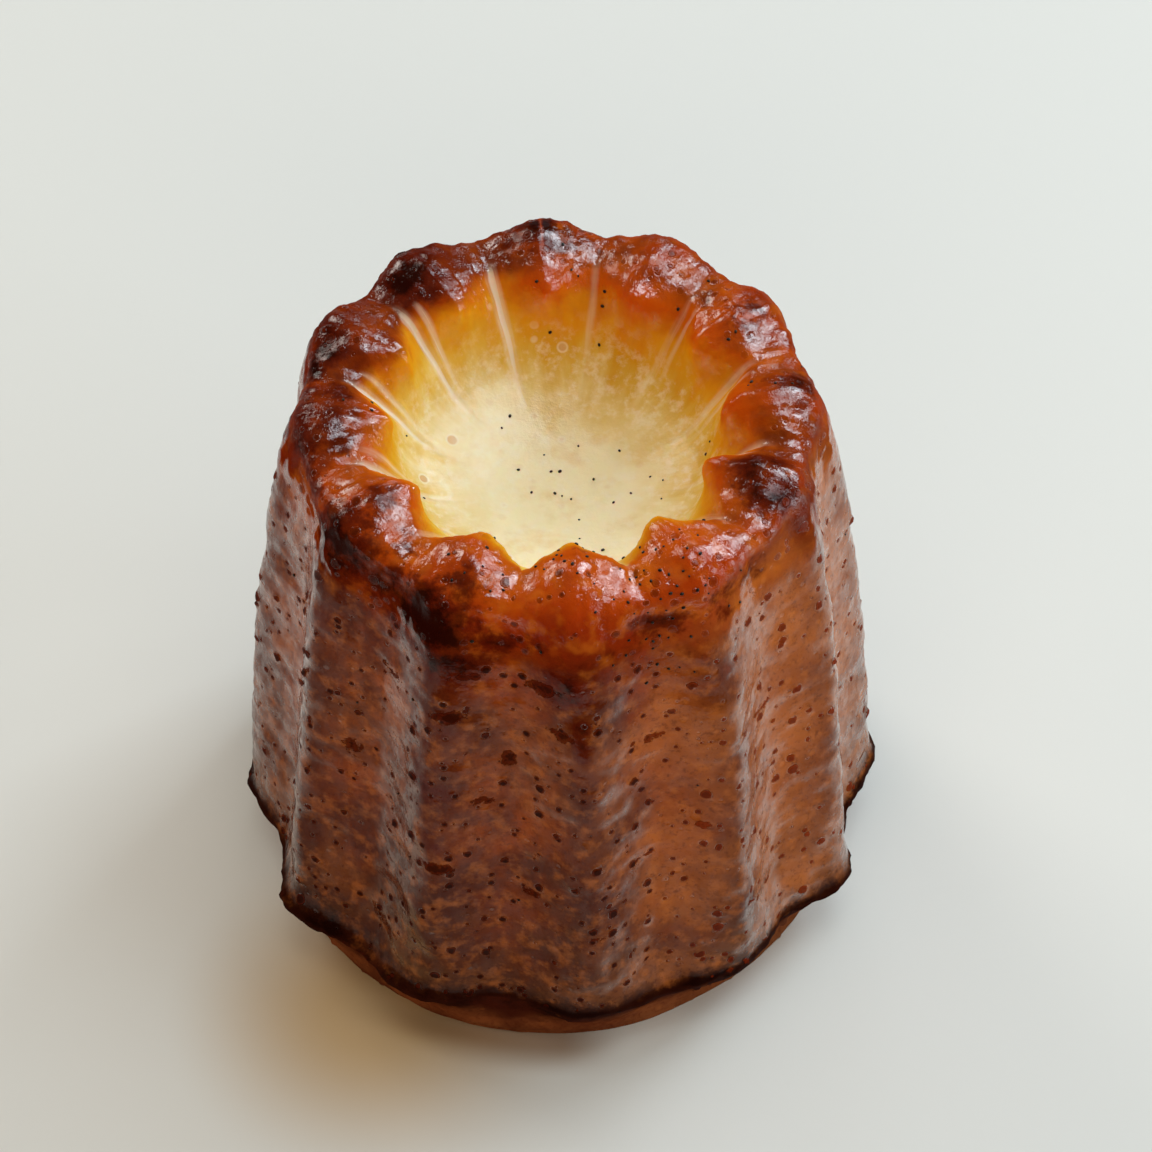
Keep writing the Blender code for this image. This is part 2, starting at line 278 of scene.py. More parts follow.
def cake_tree(inputs):
    """Lays a grid round the cake's axis by the two guides, closes it, and raises the crust's relief."""
    tree, given = tree_with_inputs("fluted_cake", inputs)
    node = partial(add, tree)
    maths = "ShaderNodeMath"
    vector = "ShaderNodeVectorMath"
    whole = "FunctionNodeIntegerMath"
    store = "GeometryNodeStoreNamedAttribute"
    stored = "GeometryNodeInputNamedAttribute"
    ranged = "ShaderNodeMapRange"
    soft = {"interpolation_type": "SMOOTHSTEP"}

    columns = node(whole, (given["Points round"], 1), operation="ADD")
    grid = node("GeometryNodeMeshGrid", (MM, MM, columns, given["Rings"]))
    index = node("GeometryNodeInputIndex")
    ring = node(whole, (index, given["Rings"]), operation="MODULO")
    column = node(whole, (index, given["Rings"]), operation="DIVIDE_FLOOR")

    felt = {}
    for source, place, names in (
        ("Section", ring, section_numbers()),
        ("Ring of lobes", column, ring_numbers()),
    ):
        shape = node("GeometryNodeObjectInfo", (given[source],), output="Geometry")
        for name in names:
            value = node(stored, (name,), data_type="FLOAT")
            inputs = (shape, value, place)
            felt[source, name] = node("GeometryNodeSampleIndex", inputs, data_type="FLOAT", domain="POINT")
    along = {name: socket for (source, name), socket in felt.items() if source == "Section"}
    round_it = {name: socket for (source, name), socket in felt.items() if source == "Ring of lobes"}

    # How much of a ridge each point is: 1 on it, 0 in the middle of the groove.
    weight = round_it["wave"]
    for shape in ("hollow", "fold"):
        change = node(maths, (round_it[shape], round_it["wave"]), operation="SUBTRACT")
        weight = node(maths, (change, along[shape], weight), operation="MULTIPLY_ADD")

    def between(groove, ridge):
        return node("ShaderNodeMix", (weight, groove, ridge), data_type="FLOAT", clamp_factor=False)

    def moved(value, name, by=1.0):
        amount = node(maths, (along[name], by), operation="MULTIPLY")
        return node(maths, (round_it[name], amount, value), operation="MULTIPLY_ADD")

    radius = between(along["groove_radius"], along["ridge_radius"])
    height = between(along["groove_height"], along["ridge_height"])
    radius = moved(radius, "reach")
    radius = moved(radius, "point", node(maths, (weight, -1.0), operation="MULTIPLY"))
    radius = moved(radius, "tip", weight)
    radius = moved(radius, "foot")
    radius = moved(radius, "web", node(maths, (1.0, weight), operation="SUBTRACT"))
    height = moved(height, "rise")

    up = node(ranged, (height, 0.0, given["Crest height"], 0.0, 1.0))
    low = node(maths, (1.0, up), operation="SUBTRACT")
    bearing = node(maths, (round_it["bearing_error"], up, round_it["bearing"]), operation="MULTIPLY_ADD")
    bearing = node(maths, (round_it["lip_error"], low, bearing), operation="MULTIPLY_ADD")
    bearing = node(maths, (bearing,), operation="RADIANS")
    sine = node(maths, (bearing,), operation="SINE")
    cosine = node(maths, (bearing,), operation="COSINE")
    x = node(maths, (sine, radius), operation="MULTIPLY")
    y = node(maths, (cosine, radius), operation="MULTIPLY")
    point = node("ShaderNodeCombineXYZ", (x, y, height))
    lean = node(vector, (given["Lean"], up), operation="SCALE")
    point = node(vector, (point, lean), operation="ADD")
    point = node(vector, (point, given["Millimetre"]), operation="SCALE")

    shape = node("GeometryNodeSetPosition", (grid, True, point))
    for name, value in (
        ("station", along["station"]),
        ("ridge", weight),
        ("lumps", along["lumps"]),
        ("turn", round_it["turn"]),
        ("gilded", round_it["gilded"]),
        ("baked", round_it["baked"]),
        ("thin", round_it["thin"]),
        *((line + part, round_it[line + part]) for line in LINES for part in ("_strength", "_off")),
    ):
        shape = node(store, (shape, True, name, value), data_type="FLOAT", domain="POINT")
    shape = node("GeometryNodeMergeByDistance", {"Geometry": shape, "Distance": MERGE_WITHIN})
    place = node("GeometryNodeInputPosition")
    shape = node(store, (shape, True, "dough_place", place), data_type="FLOAT_VECTOR", domain="POINT")

    # Relief, all in millimetres and along the crust's own normal.
    here = node(stored, ("dough_place",), data_type="FLOAT_VECTOR")
    in_mm = node(vector, (here, 1 / MM), operation="SCALE")
    station = node(stored, ("station",), data_type="FLOAT")
    lumps = node(stored, ("lumps",), data_type="FLOAT")

    def noise(width, detail, stretch=(1, 1, 1)):
        """A noise from about -1 to 1 whose lumps are this wide, in millimetres."""
        stretched = node(vector, (in_mm, stretch), operation="MULTIPLY")
        inputs = {"Vector": stretched, "Scale": 1 / width, "Detail": detail, "Roughness": 0.55}
        value = node("ShaderNodeTexNoise", inputs)
        return node(ranged, (value, 0.25, 0.75, -1.0, 1.0), clamp=False)

    side = node(ranged, (station, float(AT["brow"]), AT["shoulder"] - 0.5, 0.0, 1.0))
    not_side = node(maths, (1.0, side), operation="SUBTRACT")
    top = node(ranged, (station, float(AT["dish wall"]), float(AT["cusp"]), 0.0, 1.0))
    crust_top = node(maths, (top, not_side), operation="MULTIPLY")
    broad = node(maths, (noise(5.0, 1.0), lumps), operation="MULTIPLY")
    knobs = node(maths, (noise(2.2, 2.5), crust_top), operation="MULTIPLY")
    knobs = node(maths, (knobs, given["Knob height"]), operation="MULTIPLY")
    dents = node(maths, (noise(3.4, 2.5, (1, 1, 1.9)), side), operation="MULTIPLY")
    dents = node(maths, (dents, given["Dent depth"]), operation="MULTIPLY")
    relief = node(maths, (broad, knobs), operation="ADD")
    relief = node(maths, (relief, dents), operation="ADD")

    # The skin shrank as the middle sank, so it is wrinkled towards the dish. The wrinkles are narrow round
    # the cake and long down its stations.
    flat = node(vector, (here, (1.0, 1.0, 0.0)), operation="MULTIPLY")
    flat = node(vector, (flat,), operation="NORMALIZE")
    flat = node(vector, (flat, WRINKLES_ROUND), operation="SCALE")
    down = node(maths, (station, WRINKLE_LENGTH), operation="DIVIDE")
    down = node("ShaderNodeCombineXYZ", {"Z": down})
    stretched = node(vector, (flat, down), operation="ADD")
    inputs = {"Vector": stretched, "Scale": 1.0, "Detail": 2.5, "Roughness": 0.6}
    wrinkles = node("ShaderNodeTexNoise", inputs)
    wrinkles = node(ranged, (wrinkles, 0.25, 0.75, -1.0, 1.0), clamp=False)
    shrunk = node(ranged, (station, AT["dish edge"] + 0.6, AT["cusp"] - 0.3, 0.0, 1.0))
    shrunk = node(maths, (shrunk, not_side), operation="MULTIPLY")
    wrinkles = node(maths, (wrinkles, shrunk), operation="MULTIPLY")
    relief = node(maths, (wrinkles, given["Wrinkle height"], relief), operation="MULTIPLY_ADD")

    # The lip's edge is torn where the dough crept under the mould's rim.
    near_lip = node(maths, (station, -AT["lip"]), operation="ADD")
    near_lip = node(maths, (near_lip,), operation="ABSOLUTE")
    near_lip = node(ranged, (near_lip, 1.0, 0.3, 0.0, 1.0), **soft)
    torn = node(maths, (noise(1.7, 2.5), near_lip), operation="MULTIPLY")
    relief = node(maths, (torn, given["Lip raggedness"], relief), operation="MULTIPLY_ADD")

    # Bubbles that burst in the crust leave round pits, each of its own size.
    cells = node("ShaderNodeTexVoronoi", {"Vector": in_mm, "Scale": 1 / PORE_SPACING})
    chance = node("ShaderNodeSeparateXYZ", (cells.node.outputs["Color"],))
    reach = node(ranged, (chance, PORE_CHANCE, 1.0, 0.0, PORE_REACH))
    pit = node(maths, (reach, cells), operation="SUBTRACT")
    pit = node(ranged, (pit, 0.0, 0.15, 0.0, 1.0), **soft)
    pit = node(maths, (pit, side), operation="MULTIPLY")
    pit = node(maths, (pit, given["Pore depth"]), operation="MULTIPLY")
    relief = node(maths, (relief, pit), operation="SUBTRACT")

    # Each line wanders a little, rises at its first station and dies away at its last.
    for name, (_, spreads, start, end) in LINES.items():
        line, off = (
            node(stored, (name + part,), data_type="FLOAT")
            for part in ("_strength", "_off")
        )
        off = node(maths, (noise(6.0, 1.0), given["Line wander"], off), operation="MULTIPLY_ADD")
        spread = node(ranged, (station, start, end, *spreads))
        off = node(maths, (off, spread), operation="DIVIDE")
        off = node(maths, (off, 2.0), operation="POWER")
        fall = node(maths, (off, -1.0), operation="MULTIPLY")
        fall = node(maths, (fall,), operation="EXPONENT")
        line = node(maths, (line, fall), operation="MULTIPLY")
        for low, high in ((start, start + 0.6), (end, end - 1.6)):
            within = node(ranged, (station, low, high, 0.0, 1.0), **soft)
            line = node(maths, (line, within), operation="MULTIPLY")
        shape = node(store, (shape, True, name, line), data_type="FLOAT", domain="POINT")
        line = node(stored, (name,), data_type="FLOAT")
        line = node(maths, (line, given[name.capitalize() + " height"]), operation="MULTIPLY")
        relief = node(maths, (relief, line), operation="ADD")

    above = node(ranged, (station, 1.0, 2.0, 0.0, 1.0))
    relief = node(maths, (relief, above), operation="MULTIPLY")
    offset = node(vector, (node("GeometryNodeInputNormal"), relief), operation="SCALE")
    offset = node(vector, (offset, given["Millimetre"]), operation="SCALE")
    shape = node("GeometryNodeSetPosition", (shape, True, None, offset))
    shape = node("GeometryNodeSetShadeSmooth", {"Geometry": shape, "Shade Smooth": True})
    shape = node("GeometryNodeRealizeInstances", (shape,))
    for zone, (first, _) in ZONES.items():
        above = node("FunctionNodeCompare", (station, first), data_type="FLOAT", operation="GREATER_THAN")
        shape = node("GeometryNodeSetMaterial", (shape, above, given["Crust of " + zone]))
    node("NodeGroupOutput", (shape,))
    return tree


# Where the sugar burnt: ridges round from the first, station, the spread in each, and how badly.
SCORCHES = (
    (7.15, 11.0, 0.42, 0.9, 1.15),
    (6.95, 10.2, 0.30, 0.4, 0.8),
    (6.85, 12.4, 0.22, 0.5, 0.5),
    (7.50, 12.7, 0.16, 0.5, 0.4),
    (7.93, 11.4, 0.30, 0.8, 1.15),
    (7.93, 12.2, 0.18, 0.4, 0.7),
    (8.85, 12.7, 0.25, 0.5, 0.65),
    (2.00, 12.8, 0.30, 0.5, 0.38),
    (4.15, 12.9, 0.22, 0.5, 0.70),
    (7.05, 8.6, 0.25, 1.3, 0.28),
    (6.10, 5.35, 0.35, 0.45, 1.1),
    (6.90, 5.45, 0.30, 0.40, 0.9),
    (7.75, 5.50, 0.25, 0.50, 1.0),
    (8.80, 5.40, 0.20, 0.35, 0.8),
    (5.25, 5.40, 0.25, 0.40, 1.0),
    (4.30, 5.45, 0.20, 0.40, 0.7),
    (7.50, 11.0, 0.25, 0.4, 0.8),
    (7.72, 11.9, 0.20, 0.5, 0.4),
    (0.00, 12.4, 0.35, 0.6, 0.65),
    (9.20, 12.0, 0.35, 0.6, 0.5),
    (4.85, 11.1, 0.35, 0.5, 0.55),
    (8.42, 11.7, 0.20, 0.35, 0.6),
    (7.90, 13.1, 0.18, 0.5, 0.5),
    (8.90, 12.0, 0.25, 0.6, 0.6),
    (9.85, 12.3, 0.25, 0.6, 0.8),
    (9.30, 12.8, 0.25, 0.5, 0.4),
    (9.60, 12.0, 0.25, 0.4, 0.7),
    (10.80, 12.7, 0.32, 0.8, 0.9),
    (11.90, 13.0, 0.20, 0.4, 0.3),
    (1.60, 12.9, 0.30, 0.4, 0.3),
    (2.90, 12.3, 0.15, 0.5, 0.6),
    (3.95, 12.9, 0.22, 0.7, 0.6),
    (4.15, 12.2, 0.22, 0.5, 0.7),
    (9.30, 11.0, 0.30, 0.4, 0.7),
    (10.97, 12.0, 0.22, 0.4, 0.7),
    (5.90, 10.5, 0.40, 0.5, 0.2),
    (6.12, 10.0, 0.22, 0.35, 0.62),
    (6.04, 9.3, 0.09, 0.4, 0.55),
    (5.40, 11.0, 0.25, 0.4, 0.6),
    (6.60, 10.8, 0.35, 0.4, 0.5),
)

# Where a blister burst wide and left a ragged hollow, by the same five numbers.
TEARS = (
    (6.95, 7.60, 0.11, 0.060, 1.0),
    (6.90, 9.36, 0.12, 0.090, 1.0),
    (6.52, 8.74, 0.07, 0.080, 0.8),
    (6.28, 9.95, 0.16, 0.130, 0.9),
    (6.80, 9.98, 0.14, 0.070, 0.8),
    (6.15, 9.30, 0.09, 0.080, 0.9),
    (6.68, 8.30, 0.12, 0.040, 0.7),
    (5.93, 9.45, 0.07, 0.080, 0.7),
    (5.49, 8.90, 0.12, 0.050, 0.7),
    (5.97, 6.98, 0.06, 0.040, 0.9),
    (7.69, 8.20, 0.08, 0.100, 0.7),
    (7.40, 9.40, 0.12, 0.080, 0.7),
    (5.20, 7.90, 0.06, 0.050, 0.8),
    (5.62, 7.60, 0.14, 0.030, 0.7),
    (4.60, 8.60, 0.12, 0.060, 0.6),
    (6.35, 7.30, 0.10, 0.040, 0.8),
    (2.30, 8.40, 0.12, 0.070, 0.9),
    (0.60, 9.10, 0.10, 0.060, 0.8),
    (10.40, 7.80, 0.12, 0.070, 0.9),
    (11.30, 8.90, 0.09, 0.080, 0.8),
)


def mark(mesh, name, rows):
    """Gives every point of the cake how strong the nearest of these marks is there."""
    numbers = {}
    for coordinate in ("turn", "station"):
        numbers[coordinate] = np.zeros(len(mesh.vertices), np.float32)
        mesh.attributes[coordinate].data.foreach_get("value", numbers[coordinate])
    marked = np.zeros(len(mesh.vertices), np.float32)
    for turn, station, wide, tall, strength in rows:
        off = (numbers["turn"] - turn + FLUTES / 2) % FLUTES - FLUTES / 2
        away = (off / wide) ** 2 + ((numbers["station"] - station) / tall) ** 2
        marked = np.maximum(marked, strength * np.exp(-away))
    mesh.attributes.new(name, "FLOAT", "POINT").data.foreach_set("value", marked)


MERGE_WITHIN = 1e-6
WRINKLES_ROUND = 20.0 / 0.9
WRINKLE_LENGTH = 1.3
PORE_SPACING = 1.5
PORE_CHANCE = 0.45
PORE_REACH = 0.36


def linear(colour, alpha=1.0):
    """An sRGB hex colour as the linear numbers that a shader takes."""
    parts = [int(colour[n : n + 2], 16) / 255 for n in (1, 3, 5)]
    return (*[c / 12.92 if c <= 0.04045 else ((c + 0.055) / 1.055) ** 2.4 for c in parts], alpha)


def new_material(name):
    """A material without nodes, and the add function for its tree."""
    material = bpy.data.materials.new(name)
    material.use_nodes = True
    material.node_tree.nodes.clear()
    return material, partial(add, material.node_tree)


def caramel_crust(zone, first, last):
    """Sugar and dough browned to a glassy caramel on the side and lobes, thinning to bare baked custard in
    the dish. The eye sees a deep red-brown under a clear gloss that mirrors the table on the side, dark
    pits of burst bubbles, and cream and gold where light soaks into the custard. It is the same crust in
    every zone, but one zone's tree leaves out what shows only outside its first and last station."""
    material, node = new_material("caramel_crust_of_" + zone)
    maths = "ShaderNodeMath"
    vector = "ShaderNodeVectorMath"

    place = node("ShaderNodeAttribute", output="Vector", attribute_name="dough_place")
    in_mm = node(vector, (place, 1 / MM), operation="SCALE")
    station, ridge, gilded, baked, crease, twin, scorched, thin, torn = (
        node("ShaderNodeAttribute", output="Fac", attribute_name=name)
        for name in ("station", "ridge", "gilded", "baked", "crease", "twin", "scorched", "thin", "torn")
    )

    def noise(width, detail, roughness=0.55, stretch=(1, 1, 1)):
        stretched = node(vector, (in_mm, stretch), operation="MULTIPLY")
        inputs = {"Vector": stretched, "Scale": 1 / width, "Detail": detail, "Roughness": roughness}
        return node("ShaderNodeTexNoise", inputs)

    def ramped(value, start, end, low=0.0, high=1.0):
        """A smooth ramp, or its plain number where it is level over all of the zone."""
        least, most = (first, last) if value is station else (value, value)
        if isinstance(least, (int, float)):
            (lower, before), (upper, after) = sorted(((start, low), (end, high)))
            if most <= lower:
                return before
            if least >= upper:
                return after
        inputs = (value, start, end, low, high)
        return node("ShaderNodeMapRange", inputs, interpolation_type="SMOOTHSTEP")

    def mixed(share, below, above):
        above = linear(above) if isinstance(above, str) else above
        return below if share == 0 else node("ShaderNodeMix", (share, below, above), data_type="RGBA")

    def times(one, other):
        return 0.0 if 0 in (one, other) else node(maths, (one, other), operation="MULTIPLY")

    # The colour runs along the stations, on the ridges by other tones than in the grooves.
    count = len(STATIONS) - 1
    inside = ramped(station, AT["crest"] + 0.5, AT["dish wall"] + 0.5)
    uneven = node("ShaderNodeMapRange", (noise(3.5, 3.0), 0.3, 0.7, -1.0, 1.0), clamp=False)
    uneven = times(uneven, ramped(inside, 0.0, 1.0, 0.45, 0.22))
    far = node(maths, (station, uneven), operation="ADD")
    # On the front lobes the gold comes out towards the crest, partly as a painted glow of light through the
    # cusp.
    gilt_and_glow = times(gilded, ramped(station, AT["crest"] + 0.2, AT["crest"] + 1.1))
    far = node(maths, (far, gilt_and_glow), operation="SUBTRACT")
    flat = node(vector, (place, (1.0, 1.0, 0.0)), operation="MULTIPLY")
    flat = node(vector, (flat,), operation="NORMALIZE")

    def streaks(across, along, detail):
        """Noise in streaks that run over the crest and down the dish: many round the cake, and long."""
        spread = node(vector, (flat, across), operation="SCALE")
        down = node(maths, (station, along), operation="DIVIDE")
        down = node("ShaderNodeCombineXYZ", {"Z": down})
        spread = node(vector, (spread, down), operation="ADD")
        inputs = {"Vector": spread, "Scale": 1.0, "Detail": detail, "Roughness": 0.6}
        return node("ShaderNodeTexNoise", inputs)

    streaked = node("ShaderNodeMapRange", (streaks(6.5, 1.6, 4.0), 0.3, 0.7, -1.0, 1.0), clamp=False)
    streaked = times(streaked, times(inside, ramped(station, AT["dish floor"], AT["dish edge"])))
    far = node(maths, (times(streaked, 0.35), far), operation="ADD")
    level = node(maths, (far, count), operation="DIVIDE")
    in_groove, on_ridge = (
        node("ShaderNodeValToRGB", (level,), stops=[(row[0] / count, linear(row[tone])) for row in BAKED])
        for tone in (1, 2)
    )
    colour = mixed(ridge, in_groove, on_ridge)

    def cells(spacing, chance, reach):
        """Round spots of many sizes, 1 in the middle of each, the largest this share of the spacing wide."""
        inputs = {"Vector": in_mm, "Scale": 1 / spacing}
        distance = node("ShaderNodeTexVoronoi", inputs)
        luck = node("ShaderNodeSeparateColor", (distance.node.outputs["Color"],))
        size = node("ShaderNodeMapRange", (luck, chance, 1.0, 0.0, reach))
        return node(maths, (size, distance), operation="SUBTRACT")

    # The side is blistered with amber where the crust is thin, and darkened by burnt sugar and painted shade.
    side = ramped(station, AT["brow"] - 0.3, AT["shoulder"] + 0.1)
    above_lip = times(side, ramped(station, AT["lip"] + 0.1, AT["lip"] + 0.6))
    lobe = times(ramped(station, AT["shoulder"] - 0.5, AT["brow"] + 0.3), ramped(inside, 1.0, 0.3))
    # Dark clouds, strongest where the crust is least thin, put painted shade on the front left.
    dark_clouds_and_shade = ramped(noise(6.0, 5.0, 0.65), 0.38, 0.64)
    colour = mixed(times(dark_clouds_and_shade, times(side, ramped(thin, 0.0, 0.7, 0.72, 0.35))), colour, DARK_SUGAR_AND_SHADE)
    # It is thinnest in the flutes, and on some flutes up to the brow.
    # Painted light makes the lit right side paler too.
    pale_and_lit = times(thin, ramped(ridge, 0.0, 1.0, 1.0, 0.55))
    pale_and_lit = node(maths, (pale_and_lit, ramped(noise(9.0, 2.0), 0.35, 0.65, -0.35, 0.15)), operation="ADD")
    pale_and_lit = times(pale_and_lit, ramped(station, AT["lip"] + 0.3, AT["lip top"] + 0.3))
    pale_and_lit = times(pale_and_lit, ramped(station, AT["brow"] + 1.0, AT["brow"]))
    colour = mixed(times(pale_and_lit, 0.6), colour, AMBER_AND_LIGHT)
    blisters = ramped(cells(*BLISTERS), 0.0, 0.25)
    colour = mixed(times(blisters, ramped(pale_and_lit, 0.0, 1.0, 0.10, 0.55)), colour, AMBER_AND_LIGHT)
    flecks = ramped(noise(1.4, 3.0), 0.45, 0.72)
    colour = mixed(times(flecks, times(above_lip, 0.34)), colour, AMBER_AND_LIGHT)
    specks = ramped(noise(0.55, 3.0, 0.7), 0.5, 0.7)
    colour = mixed(times(specks, times(side, 0.42)), colour, DARK_SUGAR_AND_SHADE)
    # Sugar that ran down to the lip burnt in blotches.
    near_lip = times(ramped(station, AT["lip top"] + 0.45, AT["lip"] + 0.5), ramped(station, 3.5, 4.5))
    blotches = ramped(noise(2.2, 4.0, 0.6), 0.45, 0.58)
    colour = mixed(times(blotches, times(near_lip, 0.8)), colour, BLOTCH)
    glow = ramped(noise(1.8, 2.0), 0.45, 0.75)
    outer = ramped(station, AT["cusp"], AT["crest"] - 0.3)
    colour = mixed(times(glow, times(times(lobe, outer), 0.45)), colour, FLECK)

    # The lobes brown from amber to mahogany, each as it baked, and burn black where the copper was hottest.
    # The front lobes brown least, for a painted glow of light through their thin crest.
    browned = times(ramped(station, AT["dish wall"] - 0.3, AT["crest"] + 0.2), lobe)
    browned = times(browned, node(maths, (baked, noise(2.6, 3.0)), operation="ADD"))
    colour = mixed(ramped(browned, 0.45, 1.35, 0.0, 0.9), colour, MAHOGANY)
    ragged = node("ShaderNodeMapRange", (noise(2.4, 4.0, 0.65), 0.3, 0.7, -0.4, 0.4), clamp=False)
    ragged = times(ragged, ramped(scorched, 0.0, 0.2))
    burn = node(maths, (scorched, ragged), operation="ADD")
    singed = mixed(ramped(station, AT["lip top"], AT["side low"]), linear(BLOTCH), linear(SINGED))
    colour = mixed(times(ramped(burn, 0.10, 0.55), 0.85), colour, singed)
    colour = mixed(times(ramped(burn, 0.50, 0.95), 0.85), colour, BURNT)

    # The bare custard is mottled, yellow where it is denser, and pitted with small bubbles of steam, each
    # a pale ring round a gold bottom.
    custard = ramped(station, AT["dish wall"] - 0.4, AT["dish edge"])
    yellow = ramped(noise(2.8, 3.0), 0.5, 0.75)
    colour = mixed(times(yellow, times(custard, 0.35)), colour, DENSE_CUSTARD)
    milky = ramped(noise(1.1, 4.0, 0.65), 0.45, 0.7)
    colour = mixed(times(milky, times(custard, 0.45)), colour, MILKY_CUSTARD)
    bubble = cells(*BUBBLES)
    around = times(ramped(bubble, -0.07, 0.0), custard)
    within = times(ramped(bubble, 0.0, 0.06), custard)
    colour = mixed(times(around, 0.5), colour, MILKY_CUSTARD)
    within = times(within, ramped(station, AT["dish floor"], AT["dish edge"], 0.25, 0.7))
    colour = mixed(within, colour, BUBBLE_GOLD)

    # The creases stay pale, as the dough's skin was drawn tight there: a fine line in a soft pale band.
    # A painted highlight runs along each crease as well: the fine line is near white.
    line = node(maths, (crease, twin), operation="MAXIMUM")
    band = ramped(node(maths, (line, 0.25), operation="POWER"), 0.35, 0.95)
    band = times(band, ramped(streaks(30.0, 3.0, 2.0), 0.35, 0.6, 0.3, 1.0))
    drawn_and_highlit = node(maths, (times(ramped(line, 0.45, 0.85), 0.9), times(band, 0.5)), operation="MAXIMUM")
    drawn_and_highlit = times(drawn_and_highlit, ramped(station, AT["crest"] - 0.3, AT["cusp"]))
    drawn_and_highlit = times(drawn_and_highlit, ramped(station, AT["dish edge"] + 0.8, AT["dish edge"]))
    colour = mixed(drawn_and_highlit, colour, DRAWN_SKIN_AND_HIGHLIGHT)

    # Round pits of burst bubbles, where the relief has them, and finer ones that the eye sees as dots.
    # Each is red-brown at its edge, with painted shade near black at its bottom, least where the crust is
    # thin.
    broad, fine = cells(PORE_SPACING, PORE_CHANCE, PORE_REACH), cells(*FINE_PITS)
    pit = node(maths, (ramped(broad, 0.0, 0.05), ramped(fine, 0.0, 0.08)), operation="MAXIMUM")
    pit_shade = node(maths, (ramped(broad, 0.04, 0.14), ramped(fine, 0.07, 0.17)), operation="MAXIMUM")
    rim = node(maths, (ramped(broad, -0.08, 0.0), ramped(fine, -0.12, 0.0)), operation="MAXIMUM")
    frayed = node("ShaderNodeMapRange", (noise(0.9, 3.0, 0.65), 0.3, 0.7, -0.35, 0.35), clamp=False)
    frayed = node(maths, (torn, times(frayed, ramped(torn, 0.0, 0.3))), operation="ADD")
    pit = node(maths, (pit, ramped(frayed, 0.40, 0.55)), operation="MAXIMUM")
    pit_shade = node(maths, (pit_shade, ramped(frayed, 0.60, 0.85, 0.0, 0.8)), operation="MAXIMUM")
    pitted = node(maths, (above_lip, times(lobe, times(outer, 0.6))), operation="MAXIMUM")
    pit, pit_shade, rim = (times(part, pitted) for part in (pit, pit_shade, rim))
    pit_colour = mixed(thin, linear(PIT), linear(THIN_PIT))
    colour = mixed(times(pit, 0.8), colour, pit_colour)
    colour = mixed(times(pit_shade, ramped(thin, 0.0, 1.0, 0.85, 0.35)), colour, PIT_SHADE)

    grainy = ramped(station, AT["shoulder"], AT["brow"], 0.3, 1.0)
    grainy = times(grainy, ramped(station, AT["dish edge"] + 1, AT["cusp"], 0.8, 1.0))
    grain = node(maths, (noise(0.9, 4.0, 0.7), GRAIN_HEIGHT * MM), operation="MULTIPLY")
    grain = times(grain, grainy)
    hollows = times(node(maths, (rim, times(pit, -3.0)), operation="ADD"), PIT_STEP * MM)
    height = node(maths, (grain, hollows), operation="ADD")
    height = node(maths, (height, times(blisters, times(side, BLISTER_STEP * MM))), operation="ADD")
    pimples = times(ramped(cells(*PIMPLES), 0.0, 0.3), times(lobe, PIMPLE_STEP * MM))
    height = node(maths, (height, pimples), operation="ADD")
    gritty = node(maths, (lobe, times(side, 0.8)), operation="ADD")
    grit = times(noise(0.4, 2.0), times(gritty, GRIT_HEIGHT * MM))
    height = node(maths, (height, grit), operation="ADD")
    normal = node("ShaderNodeBump", {"Height": height, "Distance": 1.0})
    soft = ramped(station, AT["crest"] + 0.2, AT["cusp"] + 0.5, 0.05, 0.5)
    # Butter and wax lie thickest on the flutes, where the crust pressed on the copper: they mirror the table
    # at a glancing angle. On the lobes the glaze shows in sharp lights.
    facing = node("ShaderNodeLayerWeight", {"Blend": 0.5}, output="Facing")
    facing = node(maths, (facing, ramped(noise(4.5, 2.0), 0.35, 0.65, -0.05, 0.05)), operation="ADD")
    end = node(maths, (station, ramped(facing, 0.55, 0.7, 0.0, 0.8)), operation="SUBTRACT")
    wet = node(maths, (facing, ramped(thin, 0.6, 1.0, 0.0, THIN_WET)), operation="ADD")
    glaze = times(ramped(wet, *GLAZE_FROM, *GLAZE_TO), ramped(end, *GLAZE_ENDS, 1.0, 0.0))
    bright = times(lobe, ramped(facing, *LOBE_GLAZE_FROM, *LOBE_GLAZE_TO))
    bright = times(bright, ramped(station, AT["brow"] - 0.2, AT["brow"] + 0.6))
    sparse = ramped(noise(1.3, 3.0, 0.65), 0.42, 0.56, 0.35, 1.1)
    bright = times(bright, times(ramped(burn, 0.3, 0.9, 1.0, 0.4), sparse))
    glaze = node(maths, (glaze, bright), operation="MAXIMUM")
    glaze = node(maths, (glaze, times(custard, CUSTARD_GLAZE)), operation="MAXIMUM")
    glaze = node(maths, (glaze, times(drawn_and_highlit, 0.8)), operation="MAXIMUM")
    glaze = node(maths, (glaze, times(rim, RIM_GLAZE)), operation="MAXIMUM")
    dull = ramped(station, AT["lip top"] + 0.1, AT["lip"] + 0.4, 1.0, 0.05)
    worn = ramped(noise(1.3, 4.0, 0.7, (1, 1, 0.6)), 0.40, 0.60, 0.6, 1.15)
    glaze = times(times(glaze, dull), times(worn, ramped(pit, 0.0, 1.0, 1.0, 0.1)))
    shader = node(
        "ShaderNodeBsdfPrincipled",
        {
            "Base Color": colour,
            "Roughness": 0.45,
            "Specular IOR Level": 0.0,
            "Normal": normal,
            "Coat Weight": glaze,
            "Coat Roughness": GLAZE_ROUGHNESS,
            "Coat IOR": GLAZE_IOR,
            "Coat Normal": normal,
            "Subsurface Weight": soft,
            "Subsurface Radius": LIGHT_SOAKS,
            "Subsurface Scale": MM,
        },
    )
    node("ShaderNodeOutputMaterial", (shader,))
    return material


